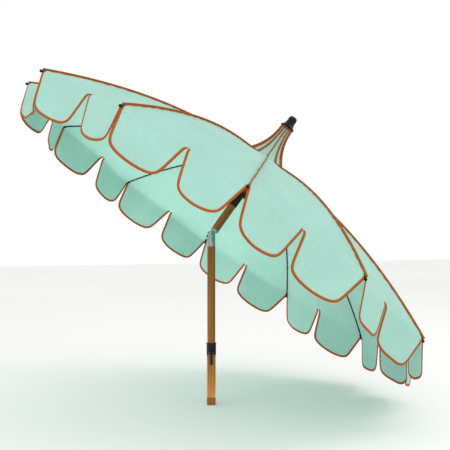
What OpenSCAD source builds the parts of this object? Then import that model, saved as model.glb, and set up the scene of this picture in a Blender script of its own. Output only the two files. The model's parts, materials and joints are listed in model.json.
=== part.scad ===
// Tilting beach umbrella, 1.9 m tip to tip. Millimetres.
// Origin: centre of the lower pole's bottom end. +Z up the pole. The tilt hinge turns about Y,
// and the canopy leans towards +X. Canopy pieces are drawn upright on their own axis, with
// heights measured from the tilt hinge, and leaned() puts them in place.

/* [Pole] */
// Outside diameter of the lower pole
lower_d = 35; // [34:0.5:38]
// Outside diameter of the sliding inner pole
inner_d = 32; // [30:0.5:32]
// Outside diameter of the canopy pole above the tilt hinge
upper_d = 32; // [28:0.5:32]
// Wall of the three tubes
wall = 1.2; // [1:0.1:1.3]
// Height of the tilt hinge above the pole's bottom end
tilt_z = 675; // [600:5:800]
// Top of the clamp collar
collar_top = 247; // [200:1:300]
// Height of the clamp collar
collar_h = 50; // [40:1:60]

/* [Canopy] */
// Lean of the canopy from upright
lean = 36.25; // [0:0.25:40]
// Turn of the ring of ribs about the canopy axis, from the downhill side
ring_turn = -12.4; // [-15:0.1:0]
// Radius of the canopy at the rib tips
rib_tip_r = 950; // [900:10:1000]
// Height of the rib tips above the tilt hinge
rib_tip_h = 66; // [40:1:90]
// Height of the crown's rib pins above the tilt hinge
crown_h = 353.5; // [350:0.5:370]
// How fast the ribs bend down towards their tips
rib_bow = 1.81; // [1.5:0.01:2.2]
// Depth of the hanging scallops
flap_depth = 140; // [80:5:160]
// How far a panel sags between its ribs
panel_sag = 9; // [0:1:20]
// How far the rim curves in, midway between two rib tips
rim_hollow = 45; // [0:5:60]
// How fast the sides of a scallop slope in
flap_taper = 0.22; // [0.15:0.01:0.4]
// Thickness of the canvas with its hems
cloth_t = 1.5; // [1:0.1:2]

/* [Spire] */
// Radius of the cloth where the spire meets the dome
kink_r = 86; // [80:1:95]
// Height of that line above the tilt hinge
kink_h = 367; // [366:1:380]
// Radius of the cloth under the finial
spire_r = 24; // [22:1:26]
// Height of the cloth's top edge
spire_h = 534; // [520:1:545]

/* [Frame] */
// Diameter of a rib rod
rod_d = 5; // [4:0.5:6]
// Distance from a rib's crown pin to its strut
strut_reach = 98; // [92:1:100]
// Distance of the strut feet below the crown pins
runner_drop = 150; // [145:1:152]

/* [Hidden] */
$fn = 48;
ribs = 12;
function numbered(name, k) = str(name, k < 9 ? "0" : "", k + 1);
step = 360 / ribs;
half = step / 2;
fit = 0.05;             // radial clearance of a running fit
gap = 0.3;              // space between pieces that pass each other
pin_r = 1.5;            // rib and strut pins
crown_pin_r = 26;       // circle of the crown's rib pins
crown_r = 31;
slot_w = 5;             // slots for the ribs and struts
blade_t = 4.4;          // flattened rib roots
foot_t = 4;             // flattened strut feet
eye_r = 3.6;
tab_t = 3;              // tab under a rib that takes the strut
cheek_t = 1.6;          // each cheek of a strut's fork
strut_hang = 8.5;       // strut pin below the rod's middle
foot_r = 24;            // circle of the strut feet
ring_r = 29;
sleeve_wall = 1.5;
sleeve_h = 66;
ferrule_top = 30;       // canopy pole starts here, above the tilt hinge
ferrule_bottom = 18;
tongue_w = 14;
tongue_r = 9;
tilt_pin_r = 3;
button_r = 3.4;         // tilt button
socket_r = inner_d / 2 + 0.3;
socket_drop = 44;       // bottom of the tilt socket below the hinge
lever_turn = -104;      // side of the clamp where the lever hangs
lever_x = 24;
lever_z = collar_top - 36;
lever_len = 51;
lower_r = lower_d / 2;
foot_len = 155;         // full-size end that enters a base; the tube above it is drawn smaller
neck_r = lower_r - 0.2;
inner_r = inner_d / 2;
upper_r = upper_d / 2;
inner_bottom = 110;
lower_top = collar_top - 13;
cloth_lift = rod_d / 2 + cloth_t + gap;
cloth_r = rib_tip_r - 8;
spire_rows = 4;
panel_rows = 8;
cols = 6;               // columns of canvas across one sector
side_cols = cols / 2;
flap_rows = 8;
rows = spire_rows + panel_rows;
notch = 4;              // half the space between two neighbouring scallops at the rim
chord = cloth_r * sin(half);
rim_turn = atan2(rim_hollow, chord);
rim_side = norm([rim_hollow, chord]);   // length of the rim from a rib tip to the panel's middle

// Height of a rib rod's middle at radius r
function rod_h(r) =
    crown_h - (crown_h - rib_tip_h) * pow(max(0, r - crown_pin_r) / (rib_tip_r - crown_pin_r), rib_bow);
// Slope angle of the rod at radius r, downwards
function rod_angle(r) = atan2(rod_h(r - 1) - rod_h(r + 1), 2);
strut_r = crown_pin_r + strut_reach;
strut_h = rod_h(strut_r) - strut_hang;
foot_h = crown_h - runner_drop;
latch_h = foot_h - 30;  // latch button of the runner
latch_r = 3;
strut_len = norm([strut_r - foot_r, strut_h - foot_h]);
strut_angle = atan2(strut_h - foot_h, strut_r - foot_r);

// Radius and height of the canvas along a rib: the spire's flare, then the dome
function canvas_row(i) =
    i <= spire_rows
    ? let (v = i / spire_rows) [spire_r + (kink_r - spire_r) * pow(v, 2.3), spire_h + (kink_h - spire_h) * v]
    : let (r = kink_r + (cloth_r - kink_r) * (i - spire_rows) / panel_rows,
           rise = kink_h - rod_h(kink_r) - cloth_lift)
      [r, rod_h(r) + cloth_lift + rise * pow(1 - (i - spire_rows) / panel_rows, 12)];
function hollow(i) = i <= spire_rows ? 0 : rim_hollow * pow((i - spire_rows) / panel_rows, 3);
function sag(i, q) = i <= spire_rows ? 0 : panel_sag * sin(180 * (i - spire_rows) / panel_rows) * sin(90 * q);
// A point of the canvas, side -1 or 1 of the rib, at the part q of the way to the panel's middle
function canvas(i, side, q, inner) =
    let (rh = canvas_row(i),
         mid = rh[0] * cos(half) - hollow(i),
         edge = i == rows ? notch : gap,
         x = rh[0] * (1 - q) + (mid * cos(half) + edge * sin(half)) * q,
         y = side * (mid * sin(half) - edge * cos(half)) * q,
         out = i <= spire_rows ? 1 : i == rows ? 0.7 : 0,
         down = i < spire_rows ? 0 : i == rows ? 0.7 : 1,
         t = inner ? cloth_t : 0)
    [x - t * out * cos(half * q), y - side * t * out * sin(half * q), rh[1] - sag(i, q) - t * down];
// Outward swing of a scallop that hangs at the angle b from the downhill side
function swing(b) = 26 * cos(b) + 8 * cos(b) * cos(b);
// Half the width of a scallop at the part v of its depth
function flap_half(v) =
    ((rim_side - notch) / 2 - flap_taper * flap_depth * v) * sqrt(1 - pow(0.999 * v, 12));
function flap(side, i, q, b, inner) =
    let (v = sin(90 * i / flap_rows), s = swing(b), d = flap_depth * v,
         a = side * (half + rim_turn),
         n = cloth_r * cos(a) + d * sin(s) - (inner ? cloth_t : 0),
         t = side * (rim_side - notch) / 2 - cloth_r * sin(a) + (2 * q - 1) * flap_half(v),
         z = rod_h(cloth_r) + cloth_lift - d * cos(s))
    [n * cos(a) - t * sin(a), n * sin(a) + t * cos(a), z];

module leaned() {
    translate([0, 0, tilt_z]) rotate([0, lean, 0]) children();
}
module at_rib(k) {
    leaned() rotate([0, 0, ring_turn + step * k]) children();
}
// A cylinder along Y
module pin_y(r, length) {
    rotate([90, 0, 0]) cylinder(r = r, h = length, center = true);
}
module tube(r, r_in, z0, z1) {
    translate([0, 0, z0]) difference() {
        cylinder(r = r, h = z1 - z0);
        translate([0, 0, -1]) cylinder(r = r_in, h = z1 - z0 + 2);
    }
}

module lower_pole() {
    color("sienna") difference() {
        union() {
            cylinder(r = lower_r, h = foot_len);
            cylinder(r = neck_r, h = lower_top);
        }
        translate([0, 0, -1]) cylinder(r = lower_r - wall, h = lower_top + 2);
    }
}
module pole_plug() {
    color("black") cylinder(r = lower_r - wall - fit, h = 6);
}
module pole_glide() {
    color("black") difference() {
        union() {
            translate([0, 0, inner_bottom - 12]) cylinder(r = lower_r - wall - fit, h = 12);
            translate([0, 0, inner_bottom]) cylinder(r = inner_r - wall - 0.02, h = 16);
        }
        translate([0, 0, inner_bottom - 13]) cylinder(r = 11, h = 40);
    }
}
module inner_pole() {
    color("sienna") tube(inner_r, inner_r - wall, inner_bottom, tilt_z - socket_drop);
}
module clamp_collar() {
    color("black") rotate([0, 0, lever_turn]) difference() {
        union() {
            translate([0, 0, collar_top - collar_h]) cylinder(r = 18.9, h = collar_h);
            translate([0, 0, collar_top - 4]) cylinder(r = 19.6, h = 4);
            for (side = [-1, 1])
                translate([0, side * 8.2, lever_z]) {
                    pin_lug();
                }
        }
        translate([0, 0, collar_top - collar_h - 1]) cylinder(r = neck_r + 0.02, h = lower_top - collar_top + collar_h + 1);
        translate([0, 0, lower_top - 1]) cylinder(r = inner_r + fit, h = 20);
        translate([lever_x, 0, lever_z]) pin_y(1.62, 30);
    }
}
module pin_lug() {
    translate([lever_x, 0, 0]) pin_y(4.4, 3.2);
    translate([14, -1.6, -4.4]) cube([lever_x - 14, 3.2, 8.8]);
}
module clamp_pin() {
    color("silver") rotate([0, 0, lever_turn]) translate([lever_x, 0, lever_z]) pin_y(1.6, 21);
}
module clamp_lever() {
    color("black") rotate([0, 0, lever_turn]) translate([lever_x, 0, lever_z]) difference() {
        union() {
            pin_y(4.4, 12);
            translate([-3.6, -5, -lever_len + 6]) cube([4.6, 10, lever_len - 6]);
            translate([-0.6, 0, -lever_len + 5]) pin_y(4.2, 12);
        }
        pin_y(1.6 + fit, 14);
    }
}
module tilt_socket() {
    color("silver") translate([0, 0, tilt_z]) difference() {
        intersection() {
            translate([0, 0, -socket_drop]) cylinder(r = socket_r, h = socket_drop + socket_r);
            union() {
                translate([-30, -30, -socket_drop]) cube([60, 60, socket_drop]);
                pin_y(socket_r, 60);
            }
        }
        translate([0, 0, -socket_drop - 1]) cylinder(r = inner_r - 3, h = 21);
        translate([-13.2, -tongue_w / 2 - gap, -12]) cube([40, tongue_w + 2 * gap, 40]);
        pin_y(tilt_pin_r + 0.02, 60);
        translate([-14, 0, -3]) rotate([0, 90, 0]) cylinder(r = button_r + fit, h = 12, center = true);
    }
    color("silver") tube(inner_r - wall - 0.02, inner_r - 3, tilt_z - socket_drop - 26, tilt_z - socket_drop);
}
module tilt_pin() {
    color("silver") translate([0, 0, tilt_z]) {
        pin_y(tilt_pin_r, 2 * socket_r + 1);
        for (side = [-1, 1]) translate([0, side * (socket_r + 1), 0]) pin_y(4.6, 1.4);
    }
}
module tilt_button() {
    color("black") translate([-socket_r - 2.6, 0, tilt_z - 3]) rotate([0, 90, 0]) {
        cylinder(r = button_r, h = 6.6);
        translate([0, 0, 5.8]) cylinder(r = button_r + 0.8, h = 0.8);
    }
}
module button_spring() {
    color("silver") translate([-12.2, -5, tilt_z - 11.6]) cube([0.5, 10, 12]);
}
module tilt_tongue() {
    color("silver") leaned() difference() {
        union() {
            pin_y(tongue_r, tongue_w);
            translate([-tongue_r, -tongue_w / 2, 0]) cube([2 * tongue_r, tongue_w, ferrule_bottom + 1]);
            translate([0, 0, ferrule_bottom]) cylinder(r = upper_r, h = ferrule_top - ferrule_bottom);
            translate([0, 0, ferrule_bottom]) cylinder(r = upper_r - wall - fit, h = 34);
        }
        pin_y(tilt_pin_r + fit, 40);
        translate([0, 0, ferrule_top + 12]) pin_y(2.02, 60);
    }
}
module ferrule_rivet() {
    color("silver") leaned() translate([0, 0, ferrule_top + 12]) pin_y(2, 2 * upper_r - 0.4);
}
module canopy_pole() {
    color("sienna") leaned() difference() {
        tube(upper_r, upper_r - wall, ferrule_top, spire_h);
        translate([0, 0, ferrule_top + 12]) pin_y(2.02, 60);
    }
}
module runner() {
    top = foot_h + 6;
    color("black") leaned() difference() {
        union() {
            translate([0, 0, top + 3 - sleeve_h]) cylinder(r = upper_r + fit + sleeve_wall, h = sleeve_h);
            translate([0, 0, top - 12]) cylinder(r = ring_r, h = 12);
            translate([0, upper_r + 0.8, latch_h]) rotate([-90, 0, 0]) cylinder(r = latch_r + 2, h = 3);
        }
        cylinder(r = upper_r + fit, h = crown_h);
        for (k = [0:ribs - 1])
            rotate([0, 0, ring_turn + step * k]) translate([19, -slot_w / 2, top - 20]) cube([20, slot_w, 30]);
        translate([0, upper_r - 2, latch_h]) rotate([-90, 0, 0]) cylinder(r = latch_r + fit, h = 10);
    }
}
module runner_button() {
    color("silver") leaned() translate([0, upper_r + 2.4, latch_h]) rotate([-90, 0, 0])
        cylinder(r = latch_r, h = 3.2);
}
module crown() {
    color("black") leaned() translate([0, 0, crown_h]) difference() {
        union() {
            translate([0, 0, -6]) cylinder(r = crown_r, h = 12);
            translate([0, 0, -14]) cylinder(r = 20, h = 24);
        }
        translate([0, 0, -20]) cylinder(r = upper_r + 0.02, h = 40);
        for (k = [0:ribs - 1]) rotate([0, 0, ring_turn + step * k]) {
            translate([21.4, -slot_w / 2, -20]) cube([20, slot_w, 40]);
            translate([crown_pin_r, 0, 0]) pin_y(pin_r + 0.02, 11);
        }
    }
}
module crown_pins() {
    color("silver") for (k = [0:ribs - 1]) at_rib(k) translate([crown_pin_r, 0, crown_h]) pin_y(pin_r, 10.8);
}
module spire_collar() {
    color("black") leaned() tube(spire_r * cos(half) - cloth_t - gap, upper_r + 0.02, spire_h - 10, spire_h);
}
module finial() {
    color("black") leaned() translate([0, 0, spire_h]) difference() {
        rotate_extrude() polygon([
            [0, 1], [27, 1], [30, 2], [30.2, 4], [28, 6.5], [24, 10], [21, 16], [19.2, 23],
            [18, 30], [17.6, 36], [17.8, 42], [16.6, 48], [13.5, 52], [8, 54], [0, 54.5]]);
        translate([0, 0, -1]) cylinder(r = 4.05, h = 26);
    }
}
module finial_stud() {
    color("silver") leaned() {
        translate([0, 0, spire_h - 16]) cylinder(r = upper_r - wall - fit, h = 14);
        translate([0, 0, spire_h - 3]) cylinder(r = 4, h = 26);
    }
}

// A rod of n sides along the rib's curve
module rib_rod(r0, r1, n, rings) {
    points = [for (i = [0:rings]) let (r = r0 + (r1 - r0) * i / rings, a = rod_angle(r))
        for (j = [0:n - 1]) let (u = cos(360 * j / n) * rod_d / 2, w = sin(360 * j / n) * rod_d / 2)
            [r + w * sin(a), u, rod_h(r) + w * cos(a)]];
    walls = [for (i = [0:rings - 1]) for (j = [0:n - 1]) let (p = i * n + j, q = i * n + (j + 1) % n)
        each [[p, p + n, q], [q, p + n, q + n]]];
    ends = [[for (j = [0:n - 1]) j], [for (j = [n - 1:-1:0]) rings * n + j]];
    polyhedron(points = points, faces = concat(walls, ends));
}
module rib(k) {
    clip_angle = rod_angle(strut_r);
    color("dimgray") at_rib(k) {
        rib_rod(crown_pin_r + 22, rib_tip_r - 22, 8, 12);
        // flattened root and its ferrule
        translate([crown_pin_r, 0, crown_h]) difference() {
            union() {
                pin_y(eye_r, blade_t);
                translate([0, -blade_t / 2, -2.4]) cube([13, blade_t, 4.8]);
                translate([12, 0, 0]) rotate([0, 90, 0]) cylinder(r = 3.2, h = 13);
            }
            pin_y(pin_r + 0.08, 20);
        }
        // clip and tab for the strut
        translate([strut_r, 0, rod_h(strut_r)]) difference() {
            union() {
                rotate([0, 90 + clip_angle, 0]) cylinder(r = 4, h = 9, center = true);
                translate([-4, -tab_t / 2, -strut_hang]) cube([8, tab_t, strut_hang]);
                translate([0, 0, -strut_hang]) pin_y(4, tab_t);
            }
            rotate([0, 90 + clip_angle, 0]) cylinder(r = rod_d / 2 + 0.1, h = 30, center = true);
            translate([0, 0, -strut_hang]) pin_y(pin_r + fit, 20);
        }
        // tip
        translate([rib_tip_r - 22, 0, rod_h(rib_tip_r - 22)])
            rotate([0, 90 + rod_angle(rib_tip_r - 10), 0]) {
                cylinder(r = 4.6, h = 20);
                translate([0, 0, 20]) cylinder(r1 = 4.6, r2 = 3.4, h = 4);
            }
    }
}
module strut(k) {
    color("dimgray") at_rib(k) translate([strut_r, 0, strut_h]) rotate([0, -strut_angle, 0]) {
        // fork on its pin, bar, and foot; the bar runs along -X
        for (side = [-1, 1]) translate([0, side * (tab_t / 2 + 0.2 + cheek_t / 2), 0]) {
            pin_y(3.8, cheek_t);
            translate([-15, -cheek_t / 2, -2]) cube([15, cheek_t, 4]);
        }
        pin_y(pin_r, tab_t + 0.4 + 2 * cheek_t);
        translate([-17, -tab_t / 2 - 0.2 - cheek_t, -2]) cube([4, tab_t + 0.4 + 2 * cheek_t, 4]);
        translate([-strut_len, -foot_t / 2, -2]) cube([strut_len - 15, foot_t, 4]);
        translate([-strut_len, 0, 0]) pin_y(3.4, foot_t);
    }
}
// One sector of the canvas, from panel middle to panel middle, with its two scallops
module canopy(k) {
    b = ring_turn + step * k;
    sheet_points = (rows + 1) * (cols + 1);
    function panel_id(layer, i, j) = layer * sheet_points + i * (cols + 1) + j;
    function flap_id(layer, s, i, j) =
        i == 0 ? panel_id(layer, rows, s * side_cols + j)
        : 2 * sheet_points + ((layer * 2 + s) * flap_rows + i - 1) * (side_cols + 1) + j;
    points = concat(
        [for (layer = [0, 1]) for (i = [0:rows]) for (j = [0:cols])
            canvas(i, j < side_cols ? -1 : 1, abs(j - side_cols) / side_cols, layer == 1)],
        [for (layer = [0, 1]) for (s = [0, 1]) for (i = [1:flap_rows]) for (j = [0:side_cols])
            flap(2 * s - 1, i, j / side_cols, b + (2 * s - 1) * (half + rim_turn), layer == 1)]);
    function quad(a, b, c, d) = [[a, b, c], [a, c, d]];
    faces = concat(
        [for (i = [0:rows - 1]) for (j = [0:cols - 1]) each concat(
            quad(panel_id(0, i, j), panel_id(0, i, j + 1), panel_id(0, i + 1, j + 1), panel_id(0, i + 1, j)),
            quad(panel_id(1, i, j), panel_id(1, i + 1, j), panel_id(1, i + 1, j + 1), panel_id(1, i, j + 1)))],
        [for (s = [0, 1]) for (i = [0:flap_rows - 1]) for (j = [0:side_cols - 1]) each concat(
            quad(flap_id(0, s, i, j), flap_id(0, s, i, j + 1), flap_id(0, s, i + 1, j + 1),
                 flap_id(0, s, i + 1, j)),
            quad(flap_id(1, s, i, j), flap_id(1, s, i + 1, j), flap_id(1, s, i + 1, j + 1),
                 flap_id(1, s, i, j + 1)))],
        [for (j = [0:cols - 1]) each quad(panel_id(0, 0, j), panel_id(1, 0, j), panel_id(1, 0, j + 1),
            panel_id(0, 0, j + 1))],
        [for (i = [0:rows - 1]) each concat(
            quad(panel_id(0, i, 0), panel_id(0, i + 1, 0), panel_id(1, i + 1, 0), panel_id(1, i, 0)),
            quad(panel_id(0, i, cols), panel_id(1, i, cols), panel_id(1, i + 1, cols),
                 panel_id(0, i + 1, cols)))],
        [for (s = [0, 1]) for (i = [0:flap_rows - 1]) each concat(
            quad(flap_id(0, s, i, 0), flap_id(0, s, i + 1, 0), flap_id(1, s, i + 1, 0), flap_id(1, s, i, 0)),
            quad(flap_id(0, s, i, side_cols), flap_id(1, s, i, side_cols),
                 flap_id(1, s, i + 1, side_cols), flap_id(0, s, i + 1, side_cols)))],
        [for (s = [0, 1]) for (j = [0:side_cols - 1])
            each quad(flap_id(0, s, flap_rows, j), flap_id(0, s, flap_rows, j + 1),
                      flap_id(1, s, flap_rows, j + 1), flap_id(1, s, flap_rows, j))]);
    color("aquamarine") at_rib(k) polyhedron(points = points, faces = faces);
}

lower_pole();
pole_plug();
pole_glide();
inner_pole();
clamp_collar();
clamp_pin();
clamp_lever();
tilt_socket();
tilt_pin();
tilt_button();
button_spring();
tilt_tongue();
ferrule_rivet();
canopy_pole();
runner();
runner_button();
crown();
crown_pins();
spire_collar();
finial();
finial_stud();
for (k = [0:ribs - 1]) {
    rib(k);
    strut(k);
    canopy(k);
}
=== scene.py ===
"""Looks of a tilting beach umbrella: scalloped canvas with bound edges and seams, drawn up to a capped spire,
on a telescoping wood-look pole. The pieces built here ride on bodies of the frame, all but the spire's canvas
and seams, which keep their places."""

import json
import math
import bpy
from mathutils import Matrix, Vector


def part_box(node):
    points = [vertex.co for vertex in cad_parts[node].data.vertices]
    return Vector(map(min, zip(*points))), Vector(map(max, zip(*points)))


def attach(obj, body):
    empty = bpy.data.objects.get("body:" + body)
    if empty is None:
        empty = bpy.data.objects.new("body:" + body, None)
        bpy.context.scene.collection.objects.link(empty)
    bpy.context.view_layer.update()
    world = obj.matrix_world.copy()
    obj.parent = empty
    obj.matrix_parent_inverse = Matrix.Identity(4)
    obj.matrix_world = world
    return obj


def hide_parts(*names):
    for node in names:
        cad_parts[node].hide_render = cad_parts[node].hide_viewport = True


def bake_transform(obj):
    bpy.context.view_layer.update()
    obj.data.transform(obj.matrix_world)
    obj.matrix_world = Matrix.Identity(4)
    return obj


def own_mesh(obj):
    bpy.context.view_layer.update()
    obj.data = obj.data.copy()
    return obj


bl_info = {
    "name": "Beach Umbrella Looks",
    "version": (1, 0, 0),
    "blender": (4, 5, 0),
    "location": "View3D > Sidebar > Umbrella",
    "description": "Builds the canvas, bindings, poles and fittings of a tilting beach umbrella",
    "category": "Add Mesh",
}

import bpy
import numpy as np
from mathutils import Vector

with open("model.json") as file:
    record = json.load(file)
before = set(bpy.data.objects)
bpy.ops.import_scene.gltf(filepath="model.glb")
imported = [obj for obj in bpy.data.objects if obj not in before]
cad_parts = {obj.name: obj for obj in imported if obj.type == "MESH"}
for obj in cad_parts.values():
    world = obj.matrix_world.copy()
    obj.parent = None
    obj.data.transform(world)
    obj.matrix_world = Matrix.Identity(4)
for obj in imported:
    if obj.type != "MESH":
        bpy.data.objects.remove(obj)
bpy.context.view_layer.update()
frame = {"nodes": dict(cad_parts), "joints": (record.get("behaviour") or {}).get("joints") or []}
JOINTS = {j["name"]: j for j in frame["joints"]}
HINGE = np.array(JOINTS["tilt"]["pos_m"])
AXIS = -np.array(JOINTS["runner_slide"]["axis"])      # up the canopy's own pole
ACROSS = np.array(JOINTS["tilt"]["axis"])
DOWNHILL = np.cross(ACROSS, AXIS)
CANOPY_FRAME = (HINGE, np.stack([DOWNHILL, ACROSS, AXIS]))
ROW_FRAME = (np.zeros(3), np.eye(3))
RIBS = 12
HALF = math.pi / RIBS                                 # from a rib to the middle of a panel
MM = 0.001
NARROW_CUT = 9                                        # the rib whose two scallops are cut back most


def rib_name(k):
    return f"rib_{k + 1:02d}"


def fold_joint(k):
    return "canopy_fold" if k == 0 else f"rib_fold_{k + 1:02d}"


def rib_frame(k):
    """Origin and axes of one rib's plane: outwards, sideways and up the canopy's axis."""
    joint = JOINTS[fold_joint(k)]
    side = np.array(joint["axis"])
    return HINGE, np.stack([np.cross(side, AXIS), side, AXIS])


def rib_turn(k):
    """Angle of a rib round the canopy's axis, from the downhill side."""
    outwards = rib_frame(k)[1][0]
    return math.atan2(outwards @ ACROSS, outwards @ DOWNHILL)


PIN = (rib_frame(0)[1] @ (np.array(JOINTS["canopy_fold"]["pos_m"]) - HINGE))
PIN_RADIUS = float(PIN[0])
PIN_HEIGHT = float(PIN[2])


# Sizes and colours that a user would change

def length(name, text, default):
    return bpy.props.FloatProperty(name=name, description=text, default=default, unit="LENGTH", precision=4)


def plain(name, text, default):
    return bpy.props.FloatProperty(name=name, description=text, default=default)


def colour(name, text, default):
    return bpy.props.StringProperty(name=name, description=text, default=default)


class UMBRELLA_PG_canvas(bpy.types.PropertyGroup):
    """Shape of the canvas"""
    rim_radius: length("Rim radius", "Radius of the canvas along a rib", 0.942)
    tip_radius: length("Tip radius", "Radius of the rib tips", 0.950)
    tip_height: length("Tip height", "Height of the rib tips above the tilt hinge", 0.066)
    bow: plain("Bow", "How fast the ribs bend down", 1.81)
    lift: length("Lift", "Canvas above the middle of a rib rod", 0.0043)
    sag: length("Sag", "How far a panel sags between its ribs", 0.009)
    kink_radius: length("Kink radius", "Radius where the spire meets the dome", 0.086)
    kink_height: length("Kink height", "Height where the spire meets the dome", 0.367)
    spire_radius: length("Spire radius", "Radius of the canvas under the finial", 0.024)
    spire_height: length("Spire height", "Height of the canvas's top edge", 0.534)
    gather: length("Gather", "Height above the kink over which the spire follows the ribs", 0.032)
    hollow: length("Rim hollow", "How far the rim curves in, midway between two rib tips", 0.045)
    notch: length("Notch", "Half the space between two scallops at the rim", 0.004)
    flap_depth: length("Scallop depth", "How far a scallop hangs", 0.140)
    taper: plain("Taper", "How fast a scallop's sides slope in", 0.22)
    narrow: plain("Narrow cut", "Extra slope of one rib's scallops", 0.13)
    wave: length("Wave", "How far the hems of the scallops swing in and out", 0.0045)
    thickness: length("Thickness", "Thickness of the canvas", 0.0010)
    mint: colour("Canvas", "Colour of the canvas", "#a3cfc2")
    yarn: colour("Yarn shade", "Darker yarns of the canvas", "#9ac7ba")


class UMBRELLA_PG_trim(bpy.types.PropertyGroup):
    """Bindings and seams"""
    band: length("Band", "Width of the binding on each face of the canvas", 0.0095)
    band_thickness: length("Band thickness", "Thickness over both faces", 0.0034)
    fin_height: length("Fin height", "How far a bound seam stands up", 0.0080)
    fin_width: length("Fin width", "Thickness of a bound seam", 0.0036)
    tape: colour("Tape", "Colour of the binding tape", "#a8560f")
    # The darker tape colour is painted shade in the twill's hollows, and also the colour of worn spots
    tape_hollow_shade_and_wear: colour("Tape hollow shade and wear", "Painted shade in the tape's hollows, and its worn spots", "#8d4514")
    stitch: colour("Stitching", "Colour of the stitching", "#d08a48")


class UMBRELLA_PG_pole(bpy.types.PropertyGroup):
    """Poles and fittings"""
    film: colour("Film", "Middle colour of the wood-grain film", "#8f540c")
    film_dark: colour("Dark grain", "Dark streaks of the grain", "#6e3d09")
    film_light: colour("Light grain", "Light streaks of the grain", "#a96c1a")
    nylon: colour("Nylon", "Colour of the moulded fittings", "#0c0c0b")
    enamel: colour("Enamel", "Colour of the ribs and struts", "#161918")
    collar_radius: length("Collar radius", "Outside radius of the clamp collar", 0.0189)
    lever_width: length("Lever width", "Width of the clamp's lever", 0.012)


class UMBRELLA_PG_stage(bpy.types.PropertyGroup):
    """Camera, floor and light"""
    lens: plain("Lens", "Focal length in millimetres", 77.55)
    distance: length("Distance", "Camera's distance from the pole", 3.849)
    sideways: length("Sideways", "Camera's place to the right of the pole", 0.0546)
    height: length("Height", "Camera's height above the pole's foot", 0.797)
    turn: plain("Turn", "Camera's turn round the pole, degrees", -15.2)
    pitch: plain("Pitch", "Camera's tilt upwards, degrees", -1.21)
    floor: colour("Floor", "Colour of the floor", "#f4f4f2")


# Meshes from arrays

def to_row(place, points):
    """Points in a local frame, carried to the row frame: origin plus x, y and z along its axes."""
    origin, axes = place
    return origin + np.asarray(points) @ axes


def grid_quads(rows, cols, start=0, closed=False):
    """Corner numbers of the quads of a rows by cols grid of points, as an array of fours."""
    across = cols if closed else cols - 1
    i, j = np.meshgrid(np.arange(rows - 1), np.arange(across), indexing="ij")
    k = (j + 1) % cols
    quads = np.stack([i * cols + j, i * cols + k, (i + 1) * cols + k, (i + 1) * cols + j], -1)
    return quads.reshape(-1, 4) + start


def make_piece(name, points, quads, material, uv=None, flat_faces=None, ends=()):
    """One mesh object at the origin. uv is one pair for each point; flat_faces marks the quads
    that are not smoothed; ends are polygons with more than four corners."""
    mesh = bpy.data.meshes.new(name)
    polygons = [list(q) for q in quads.tolist()] + [list(e) for e in ends]
    mesh.from_pydata(points.tolist(), [], polygons)
    smooth = np.ones(len(mesh.polygons), bool)
    if flat_faces is not None:
        smooth[np.nonzero(flat_faces)[0]] = False
    smooth[len(quads):] = False
    mesh.polygons.foreach_set("use_smooth", smooth)
    if uv is not None:
        layer = mesh.uv_layers.new(name="Cloth")
        corner = np.zeros(len(mesh.loops), np.int32)
        mesh.loops.foreach_get("vertex_index", corner)
        layer.data.foreach_set("uv", np.asarray(uv, np.float32)[corner].ravel())
    mesh.update()
    piece = bpy.data.objects.new(name, mesh)
    bpy.context.scene.collection.objects.link(piece)
    mesh.materials.append(material)
    return piece


def shell(outer, inner, flip=False):
    """A thin closed sheet between two grids of points. Returns points, quads and which quads are
    edge walls. The border of the grid is walked once round to join the two faces."""
    rows, cols = outer.shape[:2]
    count = rows * cols
    top = grid_quads(rows, cols)
    bottom = top[:, ::-1] + count
    number = np.arange(count).reshape(rows, cols)
    border = np.concatenate([number[0, :-1], number[:-1, -1], number[-1, :0:-1], number[:0:-1, 0]])
    after = np.roll(border, -1)
    walls = np.stack([border, border + count, after + count, after], -1)
    quads = np.concatenate([top, bottom, walls])
    if flip:
        quads = quads[:, ::-1]
    is_wall = np.zeros(len(quads), bool)
    is_wall[len(top) + len(bottom):] = True
    return np.concatenate([outer.reshape(-1, 3), inner.reshape(-1, 3)]), quads, is_wall


def joined(parts):
    """Several (points, quads, walls, uv) sheets as one set of arrays."""
    start = 0
    points, quads, walls, uvs = [], [], [], []
    for p, q, w, u in parts:
        points.append(p)
        quads.append(q + start)
        walls.append(w)
        uvs.append(u)
        start += len(p)
    return np.concatenate(points), np.concatenate(quads), np.concatenate(walls), np.concatenate(uvs)


def resampled(path, others, count):
    """A path and arrays that go with it, at equal steps along its length."""
    steps = np.linalg.norm(np.diff(path, axis=0), axis=1)
    along = np.concatenate([[0], np.cumsum(steps)])
    wanted = np.linspace(0, along[-1], count)

    def at(values):
        return np.stack([np.interp(wanted, along, values[:, c]) for c in range(values.shape[1])], 1)

    return at(path), [at(o) for o in others], wanted


def unit(v):
    return v / np.linalg.norm(v, axis=-1, keepdims=True)


def end_caps(rows, cols):
    """The first and the last ring of a closed grid, each as one polygon that faces outwards."""
    return [list(range(cols))[::-1], list(range((rows - 1) * cols, rows * cols))]


def sweep(path, side, up, outline):
    """A closed outline carried along a path: point = path + x of the outline along side + y along
    up. The lengths of side and up scale the outline. The two ends are closed with a cap."""
    points = path[:, None] + outline[None, :, :1] * side[:, None] + outline[None, :, 1:] * up[:, None]
    rows, cols = points.shape[:2]
    return points.reshape(-1, 3), grid_quads(rows, cols, closed=True), end_caps(rows, cols)


def superellipse(width, height, power, count=20):
    """A rounded rectangle: cosine and sine, each raised to 2 / power with its sign kept."""
    a = np.linspace(0, 2 * math.pi, count, endpoint=False)
    c, s = np.cos(a), np.sin(a)
    x = np.sign(c) * np.abs(c) ** (2 / power) * width / 2
    y = np.sign(s) * np.abs(s) ** (2 / power) * height / 2
    return np.stack([x, y], 1)


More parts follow.
